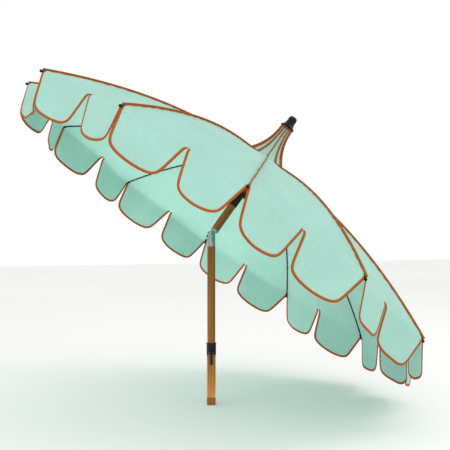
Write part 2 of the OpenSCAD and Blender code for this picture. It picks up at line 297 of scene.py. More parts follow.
def filleted(corners, radius, steps=5):
    """An open outline whose inner corners are rounded: each becomes a parabola that starts and
    ends at most radius from the corner."""
    corners = np.asarray(corners, float)
    out = [corners[:1]]
    t = np.linspace(0, 1, steps + 1)[:, None]
    for before, here, after in zip(corners[:-2], corners[1:-1], corners[2:]):
        reach_in = min(radius, 0.45 * np.linalg.norm(before - here))
        reach_out = min(radius, 0.45 * np.linalg.norm(after - here))
        a = here + unit(before - here) * reach_in
        b = here + unit(after - here) * reach_out
        out.append((1 - t) ** 2 * a + 2 * t * (1 - t) * here + t ** 2 * b)
    out.append(corners[-1:])
    return np.concatenate(out)


def lathe(outline, segments=64, ripple=None):
    """An outline of (radius, height) turned about z: point = (r cos a, r sin a, h). ripple may
    scale the radius by angle and height. An outline that starts or ends on the axis is closed."""
    a = np.linspace(0, 2 * math.pi, segments, endpoint=False)
    r = np.repeat(outline[:, :1], segments, 1)
    h = np.repeat(outline[:, 1:], segments, 1)
    if ripple is not None:
        r, h = ripple(r, h, np.broadcast_to(a, r.shape))
    points = np.stack([r * np.cos(a), r * np.sin(a), h], -1).reshape(-1, 3)
    quads = grid_quads(len(outline), segments, closed=True)
    return points, quads


def closed_lathe(name, outline, material, place, segments=64, ripple=None):
    """A lathe piece whose outline is a closed loop, or starts and ends on the axis with caps."""
    points, quads = lathe(outline, segments, ripple)
    rows = len(outline)
    ends = []
    if np.linalg.norm(outline[0] - outline[-1]) < 1e-9:
        points = points[:-segments]
        last = quads >= (rows - 1) * segments
        quads = np.where(last, quads - (rows - 1) * segments, quads)
    else:
        ends = end_caps(rows, segments)
    piece = make_piece(name, to_row(place, points), quads, material, ends=ends)
    return fix_normals(piece)


def fix_normals(piece):
    """Faces pointed outwards."""
    import bmesh
    work = bmesh.new()
    work.from_mesh(piece.data)
    bmesh.ops.recalc_face_normals(work, faces=work.faces)
    work.to_mesh(piece.data)
    work.free()
    return piece


# Materials

def linear(code):
    """An sRGB hex colour as linear RGBA."""
    values = [int(code[i:i + 2], 16) / 255 for i in (1, 3, 5)]
    return [v / 12.92 if v <= 0.04045 else ((v + 0.055) / 1.055) ** 2.4 for v in values] + [1.0]


def add(tree, kind, inputs=None, **settings):
    """One node with its settings. An input is a value, or another node's output to link."""
    made = tree.nodes.new(kind)
    for name, value in settings.items():
        setattr(made, name, value)
    for name, value in (inputs or {}).items():
        if isinstance(value, bpy.types.NodeSocket):
            tree.links.new(value, made.inputs[name])
        else:
            made.inputs[name].default_value = value
    return made


def material(name, **shader):
    """A new material with its Principled shader set; returns it, its tree and the shader."""
    made = bpy.data.materials.new(name)
    made.use_nodes = True
    principled = made.node_tree.nodes["Principled BSDF"]
    for socket, value in shader.items():
        principled.inputs[socket.replace("_", " ")].default_value = value
    return made, made.node_tree, principled


def emboss(tree, shader, height, strength, distance):
    """A fine relief under the shader, where height is another node's output."""
    bump = add(tree, "ShaderNodeBump", {"Height": height, "Strength": strength, "Distance": distance})
    tree.links.new(bump.outputs["Normal"], shader.inputs["Normal"])


def object_place(tree):
    return add(tree, "ShaderNodeTexCoord").outputs["Object"]


def noise(tree, place, scale, detail, distortion=0.0):
    """A noise texture's value at a place."""
    inputs = {"Vector": place, "Scale": scale, "Detail": detail, "Distortion": distortion}
    return add(tree, "ShaderNodeTexNoise", inputs).outputs["Fac"]


def maths(tree, operation, first, second):
    return add(tree, "ShaderNodeMath", {0: first, 1: second}, operation=operation).outputs["Value"]


def ramp(tree, factor, stops):
    """A colour ramp from (place, hex colour) stops."""
    made = add(tree, "ShaderNodeValToRGB", {"Fac": factor})
    elements = made.color_ramp.elements
    while len(elements) < len(stops):
        elements.new(0.5)
    for element, (place, code) in zip(elements, stops):
        element.position = place
        element.color = linear(code)
    return made.outputs["Color"]


def canvas_material():
    """Spun polyester canvas, plain weave: matt, with slightly uneven yarns. Real threads are taken
    as 0.6 mm apart; they are drawn 3 mm apart, the finest that the render and the bake can hold."""
    s = bpy.context.scene.umbrella_canvas
    made, tree, shader = material("Spun polyester canvas", Roughness=0.85, Specular_IOR_Level=0.15,
                                  Sheen_Weight=0.04)      # matt, with the faint fuzz of spun yarn
    uv = add(tree, "ShaderNodeUVMap", uv_map="Cloth").outputs["UV"]
    thread = 0.003
    waves = {"Vector": uv, "Scale": 1 / thread / math.tau, "Distortion": 0.6, "Detail": 1.0}
    warp, weft = (add(tree, "ShaderNodeTexWave", waves, bands_direction=way).outputs["Fac"] for way in "XY")
    weave = maths(tree, "MULTIPLY", warp, weft)
    stretch = add(tree, "ShaderNodeMapping", {"Vector": uv, "Scale": (260, 14, 1)}).outputs["Vector"]
    slub = noise(tree, stretch, 1.0, 3.0)
    mottle = noise(tree, object_place(tree), 7.0, 4.0)
    both = maths(tree, "ADD", slub, mottle)
    shade = ramp(tree, maths(tree, "MULTIPLY", both, 0.5), [(0.36, s.yarn), (0.62, s.mint)])
    tree.links.new(shade, shader.inputs["Base Color"])
    emboss(tree, shader, maths(tree, "ADD", weave, slub), 0.18, 0.0006)
    return made


def tape_material():
    """Cotton twill binding tape, folded over the edge and sewn: matt, a fine diagonal rib whose hollows are
    painted darker as shade, and a row of lighter stitches near its inner edge. u runs along it, v round it,
    both in metres."""
    s = bpy.context.scene.umbrella_trim
    made, tree, shader = material("Cotton twill binding tape", Roughness=0.8, Sheen_Weight=0.05,
                                  Specular_IOR_Level=0.15)
    uv = add(tree, "ShaderNodeUVMap", uv_map="Cloth").outputs["UV"]
    twill_step = 0.0022
    turned = add(tree, "ShaderNodeMapping", {"Vector": uv, "Rotation": (0, 0, math.radians(40))})
    twill = add(tree, "ShaderNodeTexWave", {"Vector": turned.outputs["Vector"],
                "Scale": 1 / twill_step / math.tau, "Distortion": 0.8}).outputs["Fac"]
    wear = noise(tree, object_place(tree), 45.0, 3.0)
    # Painted shade: the tape takes its darker colour in the low parts of the twill, and in spots where the
    # wear noise is low
    twill_shade_and_wear = maths(tree, "MULTIPLY", twill, wear)
    cloth = ramp(tree, twill_shade_and_wear, [(0.0, s.tape_hollow_shade_and_wear), (0.42, s.tape)])
    parts = add(tree, "ShaderNodeSeparateXYZ", {"Vector": uv})
    stitch_step, stitch_place, stitch_width = 0.0045, 0.0075, 0.0011
    along = maths(tree, "PINGPONG", parts.outputs["X"], stitch_step)
    dash = add(tree, "ShaderNodeMath", {0: along, 1: stitch_step * 0.28}, operation="GREATER_THAN")
    off = add(tree, "ShaderNodeMath", {0: parts.outputs["Y"], 1: stitch_place, 2: stitch_width / 2},
              operation="COMPARE")
    sewn = maths(tree, "MULTIPLY", dash.outputs["Value"], off.outputs["Value"])
    colours = add(tree, "ShaderNodeMix", {"Factor": sewn, 6: cloth, 7: linear(s.stitch)}, data_type="RGBA")
    tree.links.new(colours.outputs[2], shader.inputs["Base Color"])
    emboss(tree, shader, maths(tree, "ADD", sewn, twill), 0.35, 0.0005)
    return made


def film_material(name, lean):
    """Wood-grain film under clear lacquer on an aluminium tube: long brown streaks along the tube
    and a soft gloss. lean turns the grain to follow a tube that leans about Y, in radians."""
    s = bpy.context.scene.umbrella_pole
    made, tree, shader = material(name, Roughness=0.45, Specular_IOR_Level=0.3, Coat_Weight=0.12,
                                  Coat_Roughness=0.2)
    place = object_place(tree)
    upright = add(tree, "ShaderNodeMapping", {"Vector": place, "Rotation": (0, -lean, 0)}).outputs["Vector"]
    grain = add(tree, "ShaderNodeMapping", {"Vector": upright, "Scale": (190, 190, 3.2)}).outputs["Vector"]
    fine = noise(tree, grain, 1.0, 5.0, 0.4)
    broad = add(tree, "ShaderNodeMapping", {"Vector": upright, "Scale": (55, 55, 1.6)}).outputs["Vector"]
    figure = noise(tree, broad, 1.0, 2.0, 0.8)
    mean = maths(tree, "MULTIPLY", maths(tree, "ADD", fine, figure), 0.5)
    shade = ramp(tree, mean, [(0.36, s.film_dark), (0.5, s.film), (0.64, s.film_light)])
    tree.links.new(shade, shader.inputs["Base Color"])
    emboss(tree, shader, fine, 0.06, 0.0002)
    return made


def metal_material(name, code, roughness, grit):
    """Bare or plated metal: a mirror colour, with smudges that spread its gloss a little."""
    made, tree, shader = material(name, Metallic=1.0)
    shader.inputs["Base Color"].default_value = linear(code)
    smudge = noise(tree, object_place(tree), grit, 4.0)
    rough = add(tree, "ShaderNodeMapRange", {"Value": smudge, "To Min": roughness * 0.7,
                "To Max": roughness * 1.6}).outputs["Result"]
    tree.links.new(rough, shader.inputs["Roughness"])
    return made


def moulded_material(name, code, roughness, grit):
    """A dark moulded or enamelled skin: satin, with a fine grain of the given size and worn,
    slightly paler high spots."""
    made, tree, shader = material(name, Roughness=roughness, Specular_IOR_Level=0.2)
    place = object_place(tree)
    grain = noise(tree, place, 1 / grit, 2.0)
    dust = noise(tree, place, 60.0, 3.0)
    pale = "#" + "".join(f"{min(255, int(code[i:i + 2], 16) + 10):02x}" for i in (1, 3, 5))
    shade = ramp(tree, dust, [(0.35, code), (0.75, pale)])
    tree.links.new(shade, shader.inputs["Base Color"])
    emboss(tree, shader, grain, 0.12, 0.0003)
    return made


def shared(name, build):
    """A material by name, built once."""
    return bpy.data.materials.get(name) or build()


def canvas():
    return shared("Spun polyester canvas", canvas_material)


def tape():
    return shared("Cotton twill binding tape", tape_material)


def nylon():
    s = bpy.context.scene.umbrella_pole
    name = "Moulded black nylon"
    return shared(name, lambda: moulded_material(name, s.nylon, 0.5, 0.0006))


def enamel():
    s = bpy.context.scene.umbrella_pole
    name = "Black stove enamel"
    return shared(name, lambda: moulded_material(name, s.enamel, 0.3, 0.0012))


def chrome():
    # The chrome's dim grey-green base colour is a painted reflection of the mint canvas and darker
    # surroundings
    return shared("Chrome plate with painted reflection tint", lambda: metal_material("Chrome plate with painted reflection tint", "#93a19e", 0.12, 160.0))


def zinc():
    return shared("Zinc plate", lambda: metal_material("Zinc plate", "#b9bcbc", 0.28, 240.0))


# Canvas

def rod_height(r):
    """Height of a rib rod: the pin's height less a power of the way out to the tip."""
    s = bpy.context.scene.umbrella_canvas
    out = np.maximum(r - PIN_RADIUS, 0) / (s.tip_radius - PIN_RADIUS)
    return PIN_HEIGHT - (PIN_HEIGHT - s.tip_height) * out ** s.bow


def dome_height(r):
    """Height of the canvas over a rib: the rod, a lift, and a rise that fades out from the kink."""
    s = bpy.context.scene.umbrella_canvas
    rise = s.kink_height - rod_height(np.array(s.kink_radius)) - s.lift
    way = np.clip((r - s.kink_radius) / (s.rim_radius - s.kink_radius), 0, 1)
    return rod_height(r) + s.lift + rise * (1 - way) ** 12


def dome_normal(r, turn=0.0):
    """Upward normal of the dome at a turn from a rib, from the slope of dome_height."""
    step = 0.002
    slope = (dome_height(r + step) - dome_height(r - step)) / (2 * step)
    return unit(np.stack([-slope * np.cos(turn), -slope * np.sin(turn), np.ones_like(r + turn)], -1))


def swing(turn):
    """Outward swing of a scallop that hangs on the side at turn from downhill, in radians."""
    return np.radians(26 * np.cos(turn) + 8 * np.cos(turn) ** 2)


def rim_line():
    """Length of the rim from a rib tip to the middle of the panel, and its turn from the straight
    line between two tips: the rim curves in between them."""
    s = bpy.context.scene.umbrella_canvas
    chord = s.rim_radius * math.sin(HALF)
    return math.hypot(chord, s.hollow), math.atan2(s.hollow, chord)


def flap_half_width(v):
    """Half the width of a scallop at the share v of its depth: sides that slope in, and bottom
    corners like those of a superellipse of power 12."""
    s = bpy.context.scene.umbrella_canvas
    return ((rim_line()[0] - s.notch) / 2 - s.taper * s.flap_depth * v) * np.sqrt(1 - (0.999 * v) ** 12)


def panel_number(k, side):
    return k if side > 0 else (k - 1) % RIBS


def slack(k, side, q, v):
    """Slow folds of one panel, the same from both its ribs: t runs from -1 at one rib to 1 at the
    next, and v from the kink to the rim. Sums of sines that are still at the seams."""
    t = side * (q - 1)
    p = 2.399 * panel_number(k, side)
    fold = 0.0022
    still = (1 - t ** 2) * np.sin(math.pi * np.clip(v, 0, 1)) ** 0.8
    wave = np.sin(3.1 * t + 5.2 * v + p) + 0.6 * np.sin(6.3 * t - 8.5 * v + 1.7 * p)
    return fold * still * wave


def puckers(q, r, k, side):
    """Short gathers beside each seam. Their height falls by e for every reach away from it."""
    height, reach, pitch = 0.0012, 0.03, 0.045
    away = q * r * math.sin(HALF)
    fade = np.exp(-away / reach) * (1 - q ** 2) ** 2
    return height * fade * np.sin(2 * math.pi * r / pitch + 1.3 * k + side)


def dome_points(k, side, q, r):
    """Half a panel: out = r and across = q r sin(half), square to the panel's middle, less the
    rim's hollow, lowered by the sag and raised by the folds. The hollow eases in as a sine, so that
    two halves meet flat, and is straight at the rim, where the notch between scallops opens."""
    s = bpy.context.scene.umbrella_canvas
    v = (r - s.kink_radius) / (s.rim_radius - s.kink_radius)
    sag = s.sag * np.sin(math.pi * np.clip(v, 0, 1)) * np.sin(math.pi / 2 * q)
    rim_share = np.clip(v, 0, 1)
    ease = (1 - rim_share ** 6) * np.sin(math.pi / 2 * q) + rim_share ** 6 * q
    hollow = s.hollow * rim_share ** 3 * ease
    edge = s.notch * np.sqrt(np.clip((r - s.rim_radius) / 0.016 + 1, 0, 1))
    across = r * math.sin(HALF) - edge
    x = r - across * q * math.sin(HALF) - hollow * math.cos(HALF)
    y = side * (across * q * math.cos(HALF) - hollow * math.sin(HALF))
    z = dome_height(r) - sag + slack(k, side, q, v) + puckers(q, r, k, side)
    return np.stack([x, y, z], -1)


def flap_points(k, side, q, v):
    """A scallop below half a panel's rim: out = d sin(swing) and down = d cos(swing), across = its
    half width times -1 to 1, with a slow wave that grows towards its hem."""
    s = bpy.context.scene.umbrella_canvas
    length, rim_turn = rim_line()
    turn = side * (HALF + rim_turn)
    angle = swing(rib_turn(k) + turn)
    depth = s.flap_depth * v
    across = (length - s.notch) / 2 + (2 * q - 1) * flap_half_width(v)
    if k == NARROW_CUT:
        across = across + s.narrow * depth * (1 - q)
    share = across / length - 0.5
    p = 1.9 * k + 0.8 * side
    wave = s.wave * v ** 1.5 * (np.sin(5.0 * share + p) + 0.5 * np.sin(11.0 * share + 2 * p))
    out = s.rim_radius * math.cos(turn) + depth * math.sin(angle) + wave * math.cos(angle)
    along = side * across - s.rim_radius * math.sin(turn)
    x = out * math.cos(turn) - along * math.sin(turn)
    y = out * math.sin(turn) + along * math.cos(turn)
    z = dome_height(np.array(s.rim_radius)) - depth * math.cos(angle) + wave * math.sin(angle)
    return np.stack([x, y, z], -1)


def columns(count):
    """Places from 0 to 1, closest together at both ends, so that the shading of two sheets meets."""
    return (1 - np.cos(np.linspace(0, math.pi, count)))[None, :] / 2


def half_sheet(k, side):
    """Grid of points and normals of half a panel and its scallop, row by row from the kink to the
    hem, and the number of rows above the rim. There both are joined by a parabola, so that the
    canvas turns without a crack."""
    s = bpy.context.scene.umbrella_canvas
    dome_rows, turn_rows, flap_rows, cols, fillet = 42, 5, 24, 28, 0.012
    q = columns(cols)
    r = np.linspace(s.kink_radius, s.rim_radius - fillet, dome_rows)[:, None] + 0 * q
    dome = dome_points(k, side, q + 0 * r, r)
    v0 = fillet / s.flap_depth
    v = np.sin(np.linspace(math.asin(v0), math.pi / 2, flap_rows))[:, None] + 0 * q
    flap = flap_points(k, side, q + 0 * v, v)
    rim = dome_points(k, side, q, s.rim_radius + 0 * q)
    t = np.linspace(0, 1, turn_rows + 2)[1:-1, None, None]
    bend = (1 - t) ** 2 * dome[-1:] + 2 * t * (1 - t) * rim + t ** 2 * flap[:1]
    points = np.concatenate([dome, bend, flap])
    turn = side * (HALF + rim_line()[1])
    angle = swing(rib_turn(k) + turn)
    hang = np.array([math.cos(turn) * math.cos(angle), math.sin(turn) * math.cos(angle), math.sin(angle)])
    up = dome_normal(r, side * HALF * q)
    between = unit((1 - t) * up[-1:] + t * hang)
    normals = np.concatenate([up, between, np.broadcast_to(hang, flap.shape)])
    return points, normals, dome_rows


def grid_uv(points):
    """Distances in metres: across along each row, and down along the middle column."""
    down = np.linalg.norm(np.diff(points, axis=0), axis=-1)[:, points.shape[1] // 2]
    over = np.linalg.norm(np.diff(points, axis=1), axis=-1)
    v = np.concatenate([[0], np.cumsum(down)])[:, None] + np.zeros(points.shape[:2])
    u = np.concatenate([np.zeros((len(points), 1)), np.cumsum(over, 1)], 1)
    return np.stack([u, v], -1).reshape(-1, 2)


def sheet_part(points, normals, side):
    """A closed thin sheet from a grid and its normals, ready to join."""
    s = bpy.context.scene.umbrella_canvas
    inner = points - normals * s.thickness
    if side > 0:
        p, q, w = shell(points, inner, flip=True)
    else:
        p, q, w = shell(points, inner)
    uv = grid_uv(points) * [side, 1]
    return p, q, w, np.concatenate([uv, uv])


def flat_with_fold(piece, k):
    """The piece rides on its rib's body and gets a mesh of its own."""
    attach(piece, rib_name(k))
    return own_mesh(piece)


def foot_follows(piece):
    """A piece of the spire keeps its place, which is baked into its mesh."""
    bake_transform(piece)


class UMBRELLA_OT_canvas(bpy.types.Operator):
    """The dome's twelve sectors of canvas with their scallops"""
    bl_idname = "umbrella.canvas"
    bl_label = "Canvas"

    def execute(self, context):
        for k in range(RIBS):
            parts = []
            for side in (-1, 1):
                points, normals, _ = half_sheet(k, side)
                parts.append(sheet_part(points, normals, side))
            points, quads, walls, uv = joined(parts)
            points = to_row(rib_frame(k), points)
            piece = make_piece(f"canvas_{k + 1:02d}", points, quads, canvas(), uv, walls)
            flat_with_fold(piece, k)
            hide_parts(f"canopy_{k + 1:02d}")
        return {"FINISHED"}


def spire_profile(v):
    """Radius and height of the spire's canvas over a rib: the radius grows as v to the 2.3."""
    s = bpy.context.scene.umbrella_canvas
    r = s.spire_radius + (s.kink_radius - s.spire_radius) * v ** 2.3
    return r, s.spire_height + (s.kink_height - s.spire_height) * v


def spire_normal(v):
    """Outward normal of the spire in a rib's plane."""
    step = 0.01
    r0, h0 = spire_profile(np.clip(v - step, 0, 1))
    r1, h1 = spire_profile(np.clip(v + step, 0, 1))
    return unit(np.stack([-(h1 - h0), 0 * r0, r1 - r0], -1))


class UMBRELLA_OT_spire(bpy.types.Operator):
    """The canvas from the kink up to the finial, one piece for each rib"""
    bl_idname = "umbrella.spire"
    bl_label = "Spire canvas"

    def execute(self, context):
        for k in range(RIBS):
            parts = []
            for side in (-1, 1):
                q = columns(10)
                v = np.linspace(0, 1, 30)[:, None] + 0 * q
                q = q + 0 * v
                r, h = spire_profile(v)
                hollow = 0.10 * r * np.sin(math.pi / 2 * q) * (1 - v) ** 0.5
                x = r * (1 - q) + r * math.cos(HALF) ** 2 * q - hollow * math.cos(HALF)
                y = side * (r * math.cos(HALF) * math.sin(HALF) * q - hollow * math.sin(HALF) * q)
                normals = spire_normal(v)
                parts.append(sheet_part(np.stack([x, y, h], -1), normals, side))
            points, quads, walls, uv = joined(parts)
            points = to_row(rib_frame(k), points)
            piece = make_piece(f"spire_canvas_{k + 1:02d}", points, quads, canvas(), uv, walls)
            foot_follows(piece)
        return {"FINISHED"}


# Bindings and seams

def tape_length(path, side, up, outline, start=0.0):
    """A length of tape swept along a path, with UVs in metres along it and round it."""
    points, quads, caps = sweep(path, side, up, outline)
    steps = np.concatenate([[0], np.cumsum(np.linalg.norm(np.diff(path, axis=0), axis=1))]) + start
    loop = np.concatenate([outline, outline[:1]])
    round_it = np.concatenate([[0], np.cumsum(np.linalg.norm(np.diff(loop, axis=0), axis=1))])[:-1]
    uv = np.stack(np.meshgrid(steps, round_it, indexing="ij"), -1).reshape(-1, 2)
    return points, quads, caps, uv


def tapes_joined(name, lengths, place):
    """Several lengths of tape as one piece."""
    start = 0
    points, quads, caps, uvs = [], [], [], []
    for p, q, c, u in lengths:
        points.append(p)
        quads.append(q + start)
        caps += [[n + start for n in cap] for cap in c]
        uvs.append(u)
        start += len(p)
    piece = make_piece(name, to_row(place, np.concatenate(points)), np.concatenate(quads), tape(),
                       np.concatenate(uvs), ends=caps)
    return fix_normals(piece)


class UMBRELLA_OT_bindings(bpy.types.Operator):
    """Tape folded over the edge of every scallop"""
    bl_idname = "umbrella.bindings"
    bl_label = "Scallop bindings"

    def execute(self, context):
        s = context.scene.umbrella_trim
        outline = superellipse(s.band, s.band_thickness, 3.0, 14)
        outline[:, 0] -= s.band / 2 - 0.0012
        for k in range(RIBS):
            lengths = []
            for side in (-1, 1):
                points, normals, first = half_sheet(k, side)
                points = points - normals * context.scene.umbrella_canvas.thickness / 2
                rib_row = first + 2
                path, face = (np.concatenate([grid[rib_row:, 0], grid[-1, 1:-1], grid[first - 1:, -1][::-1]])
                              for grid in (points, normals))
                path, (face,), _ = resampled(path, [face], 130)
                face = unit(face)
                along = unit(np.gradient(path, axis=0))
                outwards = unit(np.cross(along, face)) * side
                lengths.append(tape_length(path, outwards, face, outline, 0.5 * side))
            piece = tapes_joined(f"scallop_binding_{k + 1:02d}", lengths, rib_frame(k))
            flat_with_fold(piece, k)
        return {"FINISHED"}


def fin_outline():
    """Section of a bound seam: a foot, two flat sides and a rounded top."""
    s = bpy.context.scene.umbrella_trim
    w, h = s.fin_width / 2, s.fin_height
    foot, root, ankle, rounding = w * 1.7, -0.0022, 0.0012, 0.0014
    return filleted([(-foot, root), (-w, ankle), (-w, h), (w, h), (w, ankle), (foot, root)], rounding, 4)


def seam(k, points, normals):
    """A bound seam along points in a rib's plane, standing up along the normals and wandering
    half a millimetre from side to side as sewing does."""
    along = np.concatenate([[0], np.cumsum(np.linalg.norm(np.diff(points, axis=0), axis=1))])
    points = points + np.stack([0 * along, 0.0005 * np.sin(along / 0.021 + k), 0 * along], -1)
    sideways = np.broadcast_to(np.array([0.0, 1.0, 0.0]), points.shape)
    return tape_length(points, sideways, normals, fin_outline())


class UMBRELLA_OT_seams(bpy.types.Operator):
    """Bound seams over the ribs, on the dome and up the spire"""
    bl_idname = "umbrella.seams"
    bl_label = "Rib seams"

    def execute(self, context):
        s = context.scene.umbrella_canvas
        for k in range(RIBS):
            r = np.linspace(s.kink_radius, s.rim_radius, 90)
            dome = np.stack([r, 0 * r, dome_height(r)], -1)
            piece = tapes_joined(f"rib_seam_{k + 1:02d}", [seam(k, dome, dome_normal(r))], rib_frame(k))
            flat_with_fold(piece, k)
            v = np.linspace(0, 1, 40)
            r, h = spire_profile(v)
            spire = np.stack([r, 0 * r, h], -1)
            shrunk = (0.35 + 0.65 * v)[:, None]               # lower fins towards the finial
            lengths = [seam(k, spire, spire_normal(v) * shrunk)]
            piece = tapes_joined(f"spire_seam_{k + 1:02d}", lengths, rib_frame(k))
            foot_follows(piece)
        return {"FINISHED"}


# Poles, clamp and finial

def tube_piece(name, node, radius, low, high, place, surface):
    """A tube with rolled ends that stands for a CAD tube: a rectangle with rounded corners,
    turned about the tube's axis."""
    inside, middle = radius - 0.0012, (low + high) / 2
    loop = filleted([(radius, middle), (radius, high), (inside, high), (inside, low), (radius, low),
                     (radius, middle)], 0.0005, 3)
    piece = closed_lathe(name, loop, surface, place, 72)
    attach(piece, node)
    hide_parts(node)
    return piece


class UMBRELLA_OT_poles(bpy.types.Operator):
    """The three tubes of the pole"""
    bl_idname = "umbrella.poles"
    bl_label = "Poles"

    def execute(self, context):
        upright = film_material("Wood-grain film on tube", 0.0)
        leaning = film_material("Wood-grain film on leaning tube", math.atan2(AXIS[0], AXIS[2]))
        for name, node in (("lower_tube", "lower_pole"), ("inner_tube", "inner_pole")):
            low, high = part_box(node)
            tube_piece(name, node, high.x, low.z, high.z, ROW_FRAME, upright)
        ferrule, s = 0.030, context.scene.umbrella_canvas
        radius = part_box("canopy_pole")[1].y
        tube_piece("canopy_tube", "canopy_pole", radius, ferrule, s.spire_height, CANOPY_FRAME, leaning)
        return {"FINISHED"}


class UMBRELLA_OT_clamp(bpy.types.Operator):
    """The clamp collar and its lever"""
    bl_idname = "umbrella.clamp"
    bl_label = "Clamp"

    def execute(self, context):
        s = context.scene.umbrella_pole
        low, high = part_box("clamp_collar")
        pin = JOINTS["clamp_lever_turn"]
        pivot = np.array(pin["pos_m"])
        facing = math.atan2(pivot[1], pivot[0])
        outwards = np.array([math.cos(facing), math.sin(facing), 0])
        place = (np.zeros(3), np.stack([outwards, np.cross([0, 0, 1], outwards), [0, 0, 1]]))
        r, lip, bore = s.collar_radius, s.collar_radius + 0.0009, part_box("lower_pole")[1].x
        inner_bore, step_down = 0.01605, 0.013
        loop = filleted([(r, (low.z + high.z) / 2), (r, high.z - 0.0055), (lip, high.z - 0.0042),
                         (lip, high.z), (inner_bore, high.z), (inner_bore, high.z - step_down),
                         (bore, high.z - step_down), (bore, low.z), (r - 0.0004, low.z),
                         (r, low.z + 0.004), (r, (low.z + high.z) / 2)], 0.0011, 3)

        def arched(radius, height, angle):
            """Two arches in the lower edge, one on each side of the lever, gone 20 mm above it."""
            arch, middle, spread, fade = 0.0075, math.radians(31), math.radians(13), 0.02
            off = np.abs(np.angle(np.exp(1j * angle)))
            lift = arch * np.exp(-((off - middle) / spread) ** 2)
            share = np.clip((low.z + fade - height) / fade, 0, 1)
            return radius, height + lift * share

        collar = closed_lathe("clamp_collar_shell", loop, nylon(), place, 96, arched)
        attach(collar, "lower_pole")
        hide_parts("clamp_collar")
        reach = float(pivot[:2] @ outwards[:2])
        ear_radius, ear_place, ear_thickness = 0.0044, 0.0082, 0.0032
        for side in (-1, 1):
            x = np.linspace(r - 0.003, reach + ear_radius - 0.0002, 14)
            path = np.stack([x, 0 * x + side * ear_place, 0 * x + pivot[2]], -1)
            tall = ear_radius * np.sqrt(np.clip(1 - ((x - reach) / ear_radius).clip(0, 1) ** 2, 0.02, 1))
            section = superellipse(ear_thickness, 2.0, 4.0, 20)
            points, quads, caps = sweep(path, np.array([[0, 1, 0]]), tall[:, None] * [0, 0, 1], section)
            ear = make_piece(f"clamp_ear_{'left' if side < 0 else 'right'}", to_row(place, points), quads,
                             nylon(), ends=caps)
            fix_normals(ear)
            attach(ear, "lower_pole")
        floor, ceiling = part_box("clamp_lever")
        t = np.linspace(0, 1, 40)
        z = ceiling.z - (ceiling.z - floor.z) * t
        end = np.exp(-((t - 0.90) / 0.09) ** 2)
        head = np.exp(-((t - 0.09) / 0.09) ** 2)
        thick = 0.0046 + 0.0036 * head + 0.0030 * end
        wide = s.lever_width * (0.86 + 0.14 * head + 0.10 * end)
        close = np.sqrt(np.clip(1 - (2 * np.abs(t - 0.5)) ** 26, 0.004, 1))
        x = reach - 0.0016 + 0.0012 * head + 0.0014 * np.sin(math.pi * t)
        section = superellipse(2.0, 2.0, 2.8, 28)
        points, quads, caps = sweep(np.stack([x, 0 * x, z], -1), (thick * close / 2)[:, None] * [1, 0, 0],
                                    (wide * close / 2)[:, None] * [0, 1, 0], section)
        lever = make_piece("clamp_lever_arm", to_row(place, points), quads, nylon(), ends=caps)
        fix_normals(lever)
        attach(lever, "clamp_lever")
        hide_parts("clamp_lever")
        return {"FINISHED"}


class UMBRELLA_OT_finial(bpy.types.Operator):
    """The brimmed cap with its faceted knob"""
    bl_idname = "umbrella.finial"
    bl_label = "Finial"

    def execute(self, context):
        base = context.scene.umbrella_canvas.spire_height
        outline = filleted(np.array([
            (0, 1), (26.5, 0.8), (30, 1.8), (30.4, 4), (28.4, 6.4), (24, 9.6), (20.8, 15), (19, 22),
            (17.9, 28), (17.2, 31), (18, 34), (18.2, 42), (17, 48), (13.5, 52.4), (8, 54.4),
            (0, 54.8)]) * MM + [0, base], 0.0022, 4)
        outline[0, 0] = outline[-1, 0] = 0.0002
        facets = 10

        def knob(radius, height, angle):
            share = np.clip((height - base - 0.033) / 0.003, 0, 1)
            corner = (angle * facets / (2 * math.pi)) % 1 - 0.5
            flat = math.cos(math.pi / facets) / np.cos(corner * 2 * math.pi / facets)
            return radius * (1 - share * (1 - flat)), height

        cap = closed_lathe("finial_cap", outline, nylon(), CANOPY_FRAME, 80, knob)
        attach(cap, "canopy_pole")
        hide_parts("finial")
        return {"FINISHED"}


class UMBRELLA_OT_rib_tips(bpy.types.Operator):
    """A moulded cap on the end of every rib"""
    bl_idname = "umbrella.rib_tips"
    bl_label = "Rib tips"

    def execute(self, context):
        s = context.scene.umbrella_canvas
        start = s.tip_radius - 0.024
        slope = float(rod_height(np.array(s.tip_radius)) - rod_height(np.array(s.tip_radius - 0.02))) / 0.02
        along = unit(np.array([1.0, 0.0, slope]))
        outline = filleted(np.array([(0.2, -1.5), (4.4, -1.5), (5.0, 0.5), (5.2, 16), (4.6, 18.5),
                                     (5.6, 20.5), (5.8, 23), (4.4, 26.4), (2.0, 27.6), (0.2, 27.8)]) * MM,
                           0.0012, 3)
        for k in range(RIBS):
            origin, axes = rib_frame(k)
            foot = to_row((origin, axes), [start, 0, float(rod_height(np.array(start)))])
            forward = along @ axes
            place = (foot, np.stack([axes[1], np.cross(forward, axes[1]), forward]))
            cap = closed_lathe(f"rib_tip_cap_{k + 1:02d}", outline, nylon(), place, 28)
            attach(cap, rib_name(k))
        return {"FINISHED"}


def finish_node(node, surface, bevel):
    """A CAD part kept as it is: welded, its edges broken by a small bevel, and shaded smooth."""
    part = frame["nodes"][node]
    part.data.polygons.foreach_set("use_smooth", np.ones(len(part.data.polygons), bool))
    part.data.materials.clear()
    part.data.materials.append(surface)
    part.modifiers.new("Weld", "WELD").merge_threshold = 0.00001
    edge = part.modifiers.new("Bevel", "BEVEL")
    edge.width = bevel
    edge.segments = 2
    edge.limit_method = "ANGLE"
    edge.angle_limit = math.radians(50)
    edge.harden_normals = True


